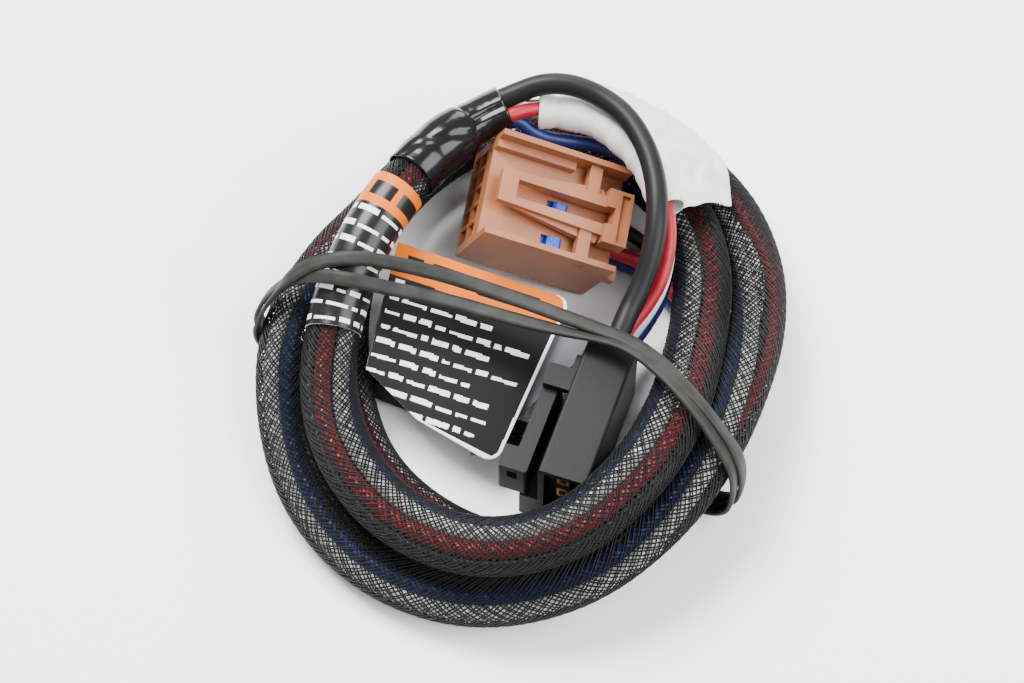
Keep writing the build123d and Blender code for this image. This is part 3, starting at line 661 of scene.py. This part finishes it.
flagSettings = {
    "origin": (-23.3, 17.0, 18.3), "across": (31.5, -8.0, -7.5), "normal": (0.179, -0.199, 0.963),
    "left": [(0, 0), (1.5, -25.0), (13.0, -31.0)], "right": [(33.3, 0), (29.0, -34.2)],
    "rows": 150, "columns": 150, "corner": 2.4, "thickness": 0.0002, "border": 0.7,
    "seed": 9, "printRows": 9, "rowWidth": 0.034,
    "heading": [(0.0025, 0.0055), (0.0072, 0.0148), (0.0164, 0.0278)],
}
plySettings = {
    "left": [(28.5, -2.0), (22.0, -30.0)], "right": [(40.0, -2.5), (38.0, -10.5), (25.5, -34.0)],
    "rows": 60, "columns": 30, "corner": 1.2, "thickness": 0.00025,
}
flagOrigin = spot(*flagSettings["origin"])
flagNormal = Vector(flagSettings["normal"]).normalized()
flagAcross = Vector(flagSettings["across"])
flagAcross = (flagAcross - flagNormal * flagAcross.dot(flagNormal)).normalized()
flagDown = flagAcross.cross(flagNormal).normalized()


def borderAt(border, share):  # a point along a border line given by a few corners
    shares = np.linspace(0, 1, len(border))
    if len(border) == 3:
        first = math.dist(border[0], border[1])
        shares = [0, first / (first + math.dist(border[1], border[2])), 1]
    return [float(np.interp(share, shares, [corner[axis] for corner in border])) for axis in (0, 1)]


def roundedAway(corner, distance):  # how far a rounded corner of this radius draws the edge in
    near = min(corner, distance)
    return corner - math.sqrt(corner ** 2 - (corner - near) ** 2)


def sheetGrid(settings, lift):
    left, right = settings["left"], settings["right"]
    rows, columns, corner = settings["rows"], settings["columns"], settings["corner"]
    grid, flat = [], []
    for row in range(rows):
        share = row / (rows - 1)
        start, end = borderAt(left, share), borderAt(right, share)
        inset = roundedAway(corner, math.dist(end, right[0]))
        inset += roundedAway(corner, math.dist(end, right[-1]))
        gridRow, flatRow = [], []
        for column in range(columns):
            part = column / (columns - 1)
            x = start[0] + (end[0] - inset - start[0]) * part
            y = start[1] + (end[1] - start[1]) * part
            height = lift(x, y, part, share)
            point = flagOrigin + (flagAcross * x - flagDown * y) * mm + flagNormal * height
            gridRow.append(tuple(point))
            flatRow.append((x, y, part, share))
        grid.append(gridRow)
        flat.append(flatRow)
    return grid, flat


def flagLift(x, y, part, share):
    curl = 0.0005 * part ** 6 + 0.0003 * noise.noise(Vector((x * 0.09, y * 0.09, 2.0)))
    return curl - 0.0003 * (1 - part) ** 4


def plyLift(x, y, part, share):
    return -0.001 + 0.0003 * noise.noise(Vector((x * 0.12, y * 0.12, 7.0)))


flagGrid, flagFlat = sheetGrid(flagSettings, flagLift)
flag = addSheetMesh("printedLabelFlag", flagGrid, flagSettings["thickness"])
paint(flag, *printSettings["inks"])
flagRows = printRows(flagSettings["seed"], flagSettings["rowWidth"], flagSettings["printRows"])
flagHeight = math.dist(*flagSettings["right"])
for polygon in flag.data.polygons:
    row, column = divmod(polygon.index, flagSettings["columns"] - 1)
    polygon.material_index = 2
    if row < flagSettings["rows"] - 1:
        x, y, _, share = flagFlat[row][column]
        edge = flagFlat[row][-1][0] - x
        low = (1 - share) * flagHeight
        if edge > flagSettings["border"] and low > flagSettings["border"]:
            polygon.material_index = inkAt(x * mm, -y * mm, flagRows, flagSettings["heading"])
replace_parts(flag, "printed_label_flag")
smooth(flag)

plyGrid, _ = sheetGrid(plySettings, plyLift)
# the backing sheet takes the dark grey of painted shade under the flag
shadeGreyPly = smooth(paint(addSheetMesh("labelBacking", plyGrid, plySettings["thickness"]), "shadeGreyPly"))
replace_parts(shadeGreyPly, "label_backing")
print("stage: printed label placed")

markerSettings = {
    "start": (2.4, 42.7, 23.1), "radius": 0.00318, "wall": 0.0002, "around": 72, "step": 0.0004,
    "root": 0.0031, "rows": 40, "columns": 90, "sag": 0.0012, "thickness": 0.0002,
    "edge": [
        (5.2, 58.2, 10.6), (12.4, 59.0, 10.4), (22.0, 55.6, 10.2), (31.6, 48.0, 10.2),
        (39.4, 38.0, 10.6), (38.2, 27.4, 13.6),
    ],
}


def markerShape(fraction, angle, place):
    return markerSettings["radius"] + dent(place, 380, 0.0004) + dent(place, 1100, 0.00012)


markerRoute = [markerSettings["start"]] + leadSettings["marker"][1:]
markerLine = readLine(spots(markerRoute), markerSettings["step"])
markerWall, markerAround = markerSettings["wall"], markerSettings["around"]
marker = addSleeve("markerSleeve", markerLine, markerShape, markerWall, markerAround)
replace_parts(smooth(paint(marker, "film")), "marker_label")

flagRoots, flagEdges = [], []
for near, edge in zip(spots(leadSettings["marker"][1:]), spots(markerSettings["edge"])):
    outward = (edge - near).normalized()
    flagRoots.append(near + outward * markerSettings["root"])
    flagEdges.append(edge)
rootLine = evenLine(flagRoots, markerSettings["columns"])
edgeLine = evenLine(flagEdges, markerSettings["columns"])
filmGrid = []
for out in np.arange(markerSettings["rows"]) / (markerSettings["rows"] - 1):
    filmRow = []
    for root, edge in zip(rootLine, edgeLine):
        place = root + (edge - root) * out
        crumple = dent(place, 150, 0.0017) + dent(place, 420, 0.0009)
        sag = markerSettings["sag"] * math.sin(math.pi * out)
        filmRow.append(place + np.array([0, 0, 1]) * (crumple * min(1, out * 4) + sag))
    filmGrid.append(filmRow)
filmFlag = smooth(paint(addSheetMesh("markerFlag", filmGrid, markerSettings["thickness"]), "film"))
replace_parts(filmFlag, "marker_label_flag")
print("stage: marker film draped")

bandSettings = {
    "width": 0.0026, "thickness": 0.0008, "step": 0.0005,
    "level": (0.38, 0.92, 0),  # the direction across the band where it lies flat
    "rollAbove": 0.02, "rollBlend": 0.003,
    "section": [  # corners of its rounded section, in half widths and thicknesses
        (-1, -1), (-1, 1), (-0.4, 1.25), (0.4, 1.25), (1, 1), (1, -1), (0.4, -1.25), (-0.4, -1.25),
    ],
    "route": [
        (-32.6, 8.2, 27.2), (-24.8, 8.6, 25.0), (-13, 6.6, 22.8), (-1, 2, 22.4), (10, -2.8, 22.4),
        (17.4, -6.4, 23.4), (22, -11.6, 26.2), (26.6, -18, 28.2), (31.8, -23.6, 26.2),
        (36.8, -28.4, 20.2), (37.8, -29.2, 12), (37.4, -28.8, 5), (33, -26.2, 0.8),
        (10, -16.4, 0.8), (-14, -7, 0.8), (-37.6, 3, 0.9), (-45.8, 5, 3.2), (-49.6, 5.6, 9.6),
        (-47.4, 6.4, 16.6), (-40.8, 7.4, 22.6),
    ],
    # the second turn's shift from the first, point by point
    "shift": [
        (0, -4.0, -0.6), (0, -4.6, -1.6), (-1, -4.2, -1.0), (-1, -3.6, -0.6), (-0.8, -2.4, 0.2),
        (-0.8, -1.6, 0.8), (-0.8, -1.4, 0.7), (-0.9, -1.2, 0.7), (-1.2, -1.4, 0.4), (-1.4, -1.6, 0),
        (-1.6, -1.8, 0), (-1.6, -1.8, 0), (-1, -2.4, 0), (-1, -2.8, 0), (-1, -3, 0),
        (0, -3, 0), (0, -3, 0), (0, -2.8, 0), (0, -2.4, 0), (0, 0.6, 1.3),
    ],
}
bandRoute = list(bandSettings["route"])
for point, shift in zip(bandSettings["route"], bandSettings["shift"]):
    bandRoute.append(tuple(a + b for a, b in zip(point, shift)))


def closedLine(points, step):  # evenly spaced points of a closed smooth line
    overlap = readLine(points[-3:] + points + points[:3], step)
    head = np.linalg.norm(overlap - np.array((points[-1] + points[0]) / 2), axis=1)
    first = int(np.argmin(head[:len(head) // 3]))
    last = len(head) - 1 - int(np.argmin(head[::-1][:len(head) // 3]))
    return overlap[first:last]


def addBand(name, line):
    points = []
    level = np.array(bandSettings["level"])
    halfWidth = bandSettings["width"] / 2
    halfThickness = bandSettings["thickness"] / 2.5  # the crowned middle makes up the rest
    along = np.roll(line, -1, axis=0) - np.roll(line, 1, axis=0)
    along /= np.linalg.norm(along, axis=1)[:, None]
    for index, place in enumerate(line):
        across = level - along[index] * level.dot(along[index])
        across /= np.linalg.norm(across)
        above = np.cross(along[index], across)
        free = max(0, min(1, (place[2] - bandSettings["rollAbove"]) / bandSettings["rollBlend"]))
        roll = free * (0.5 * noise.noise(Vector((index * 0.02, 1.5, 0))) + 0.35 * math.sin(index * 0.031))
        sideways = across * math.cos(roll) + above * math.sin(roll)
        upwards = above * math.cos(roll) - across * math.sin(roll)
        for x, y in bandSettings["section"]:
            offset = sideways * x * halfWidth + upwards * y * halfThickness
            points.append(place + offset)
    return addMesh(name, points, ringFaces(len(line), len(bandSettings["section"]), closed=True))


bandLine = closedLine(spots(bandRoute), bandSettings["step"])
band = smooth(paint(addBand("rubberBand", bandLine), "band"))
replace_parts(band, "rubber_band")
print("stage: band stretched round the coil")


def addFloor():
    bpy.ops.object.select_all(action="DESELECT")
    bpy.ops.mesh.primitive_plane_add(size=3, location=(0, 0, 0))
    floor = bpy.context.object
    floor.name = "floor"
    floor.data.materials.append(newMaterial("paper floor", (0.95, 0.95, 0.95), 0.85))


def addLight(name, place, size, power, aim=(0, 0, 0.01)):
    light = bpy.data.lights.new(name, "AREA")
    light.energy = power
    light.size = size
    lamp = bpy.data.objects.new(name, light)
    lamp.location = place
    lamp.rotation_euler = (Vector(aim) - Vector(place)).to_track_quat("-Z", "Y").to_euler()
    bpy.context.scene.collection.objects.link(lamp)


cameraSettings = {"lens": 83.14, "place": (-0.001444, -0.217247, 0.382391), "tilt": 30, "nearest": 0.01}


def addCamera():
    camera = bpy.data.objects.new("camera", bpy.data.cameras.new("camera"))
    camera.data.lens = cameraSettings["lens"]
    camera.data.clip_start = cameraSettings["nearest"]
    camera.location = cameraSettings["place"]
    camera.rotation_euler = (math.radians(cameraSettings["tilt"]), 0, 0)
    bpy.context.scene.collection.objects.link(camera)
    bpy.context.scene.camera = camera


addFloor()
addLight("keyLight", (-0.3, 0.35, 0.75), 0.45, 22)
addLight("fillLight", (0.5, -0.25, 0.6), 0.6, 12)
addLight("rimLight", (0.1, 0.6, 0.35), 0.3, 3)
world = bpy.data.worlds.new("soft room")
bpy.context.scene.world = world
world.use_nodes = True
world.node_tree.nodes["Background"].inputs["Color"].default_value = (0.9, 0.92, 0.95, 1)
world.node_tree.nodes["Background"].inputs["Strength"].default_value = 1.0
addCamera()
